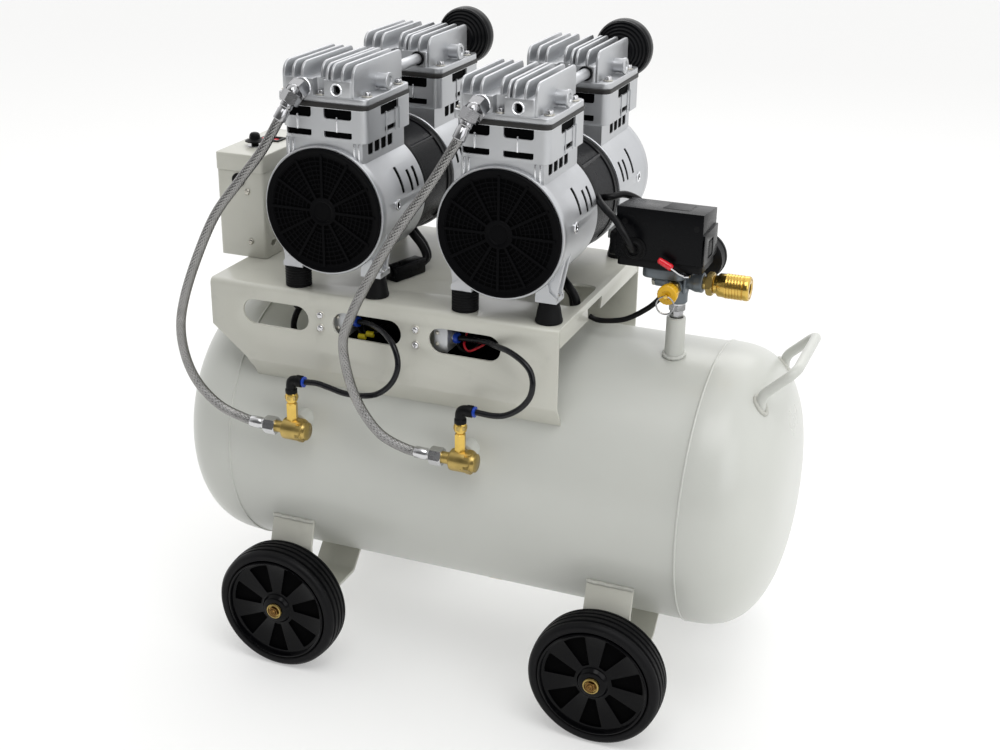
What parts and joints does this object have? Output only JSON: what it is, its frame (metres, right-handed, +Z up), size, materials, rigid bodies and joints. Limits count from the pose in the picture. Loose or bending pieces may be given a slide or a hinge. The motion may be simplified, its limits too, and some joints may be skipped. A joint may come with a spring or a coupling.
{
  "type": "air compressor",
  "caption": "Oil-free air compressor: twin motor pumps with finned heads on a bent platform over a horizontal wheeled tank, with outlet valve, coupler and pressure switch.",
  "frame": {"origin": "middle of the footprint on the floor under the wheels", "axes": "+X along the tank towards the air outlet and the handle, +Z up, -Y is the side with the hoses and check valves"},
  "size_m": [0.6768, 0.3786, 0.675],
  "materials": {
    "cream_paint": "smooth semi-gloss",
    "cast_aluminium": "satin casting",
    "stator_paint": "satin",
    "black_plastic": "matte",
    "black_rubber": "matte",
    "tyre": "matte",
    "bright_steel": "bright",
    "brass": "polished",
    "grey_zinc": "satin die casting",
    "red_plastic": "glossy",
    "yellow_plastic": "glossy",
    "steel_braid": "woven braid"
  },
  "bodies": {
    "compressor": {"tank_shell": "cream_paint", "handle": "cream_paint", "wheel_strap_left": "cream_paint", "wheel_strap_right": "cream_paint", "platform": "cream_paint", "control_box": "cream_paint", "manifold": "grey_zinc", "quick_coupler": "brass", "safety_valve": "yellow_plastic", "pressure_switch": "black_plastic", "check_valve_left": "brass", "check_valve_right": "brass", "hose_left": "steel_braid", "hose_right": "steel_braid", "unloader_tube_left": "black_plastic", "unloader_tube_right": "black_plastic", "left_stator": "stator_paint", "left_fan_grille": "black_plastic", "left_transfer_pipe": "cast_aluminium", "left_intake_filter": "black_plastic", "left_crankcase_front": "cast_aluminium", "left_cylinder_front": "cast_aluminium", "left_head_front": "cast_aluminium", "left_foot_front_left": "black_rubber", "left_foot_front_right": "black_rubber", "left_crankcase_rear": "cast_aluminium", "left_cylinder_rear": "cast_aluminium", "left_head_rear": "cast_aluminium", "left_foot_rear_left": "black_rubber", "left_foot_rear_right": "black_rubber", "right_stator": "stator_paint", "right_fan_grille": "black_plastic", "right_transfer_pipe": "cast_aluminium", "right_intake_filter": "black_plastic", "right_crankcase_front": "cast_aluminium", "right_cylinder_front": "cast_aluminium", "right_head_front": "cast_aluminium", "right_foot_front_left": "black_rubber", "right_foot_front_right": "black_rubber", "right_crankcase_rear": "cast_aluminium", "right_cylinder_rear": "cast_aluminium", "right_head_rear": "cast_aluminium", "right_foot_rear_left": "black_rubber", "right_foot_rear_right": "black_rubber"},
    "front_left_wheel": {"wheel_front_left": "tyre"},
    "front_right_wheel": {"wheel_front_right": "tyre"},
    "rear_left_wheel": {"wheel_rear_left": "tyre"},
    "rear_right_wheel": {"wheel_rear_right": "tyre"},
    "left_pump_rotor": {"left_rotor": "bright_steel"},
    "left_front_piston": {"left_piston_front": "bright_steel"},
    "left_rear_piston": {"left_piston_rear": "bright_steel"},
    "right_pump_rotor": {"right_rotor": "bright_steel"},
    "right_front_piston": {"right_piston_front": "bright_steel"},
    "right_rear_piston": {"right_piston_rear": "bright_steel"},
    "valve_lever": {"ball_valve_lever": "red_plastic"},
    "sleeve": {"coupler_sleeve": "brass"},
    "pull_ring": {"safety_valve_ring": "bright_steel"},
    "rocker": {"rocker_switch": "red_plastic"},
    "reset": {"reset_button": "black_plastic"},
    "drain": {"drain_cock": "brass"}
  },
  "joints": [
    {"name": "front_left_wheel_spin", "type": "hinge", "parent": "compressor", "child": "front_left_wheel", "pos_m": [-0.187, -0.1642, 0.07059], "axis": [0, 1, 0], "continuous": true},
    {"name": "front_right_wheel_spin", "type": "hinge", "parent": "compressor", "child": "front_right_wheel", "pos_m": [0.1775, -0.1642, 0.07059], "axis": [0, 1, 0], "continuous": true},
    {"name": "rear_left_wheel_spin", "type": "hinge", "parent": "compressor", "child": "rear_left_wheel", "pos_m": [-0.187, 0.1642, 0.07059], "axis": [0, 1, 0], "continuous": true},
    {"name": "rear_right_wheel_spin", "type": "hinge", "parent": "compressor", "child": "rear_right_wheel", "pos_m": [0.1775, 0.1642, 0.07059], "axis": [0, 1, 0], "continuous": true},
    {"name": "left_rotor_spin", "type": "hinge", "parent": "compressor", "child": "left_pump_rotor", "pos_m": [-0.1345, 0, 0.517], "axis": [0, 1, 0], "continuous": true},
    {"name": "left_front_piston_stroke", "type": "slide", "parent": "compressor", "child": "left_front_piston", "axis": [0, 0, 1], "range_m": [-0.007, 0.007]},
    {"name": "left_rear_piston_stroke", "type": "slide", "parent": "compressor", "child": "left_rear_piston", "axis": [0, 0, 1], "range_m": [-0.007, 0.007]},
    {"name": "right_rotor_spin", "type": "hinge", "parent": "compressor", "child": "right_pump_rotor", "pos_m": [0.053, 0, 0.517], "axis": [0, 1, 0], "continuous": true},
    {"name": "right_front_piston_stroke", "type": "slide", "parent": "compressor", "child": "right_front_piston", "axis": [0, 0, 1], "range_m": [-0.007, 0.007]},
    {"name": "right_rear_piston_stroke", "type": "slide", "parent": "compressor", "child": "right_rear_piston", "axis": [0, 0, 1], "range_m": [-0.007, 0.007]},
    {"name": "outlet_valve_turn", "type": "hinge", "parent": "compressor", "child": "valve_lever", "pos_m": [0.2168, -0.028, 0.4726], "axis": [0, 0, 1], "range_deg": [0, 85]},
    {"name": "coupler_sleeve_draw", "type": "slide", "parent": "compressor", "child": "sleeve", "axis": [-1, 0, 0], "range_m": [0, 0.004], "stiffness_N_per_m": 1500, "springref_m": -0.004},
    {"name": "safety_ring_pull", "type": "slide", "parent": "compressor", "child": "pull_ring", "axis": [0, -1, 0], "range_m": [0, 0.003], "stiffness_N_per_m": 1500, "springref_m": -0.002},
    {"name": "rocker_tip", "type": "hinge", "parent": "compressor", "child": "rocker", "pos_m": [-0.279, 0.015, 0.5405], "axis": [0, 1, 0], "range_deg": [0, 16]},
    {"name": "reset_press", "type": "slide", "parent": "compressor", "child": "reset", "axis": [0, 0, -1], "range_m": [0, 0.003], "stiffness_N_per_m": 600, "springref_m": -0.002},
    {"name": "drain_cock_turn", "type": "hinge", "parent": "compressor", "child": "drain", "pos_m": [0, 0, 0.07], "axis": [0, 0, 1], "range_deg": [0, 180]}
  ]
}
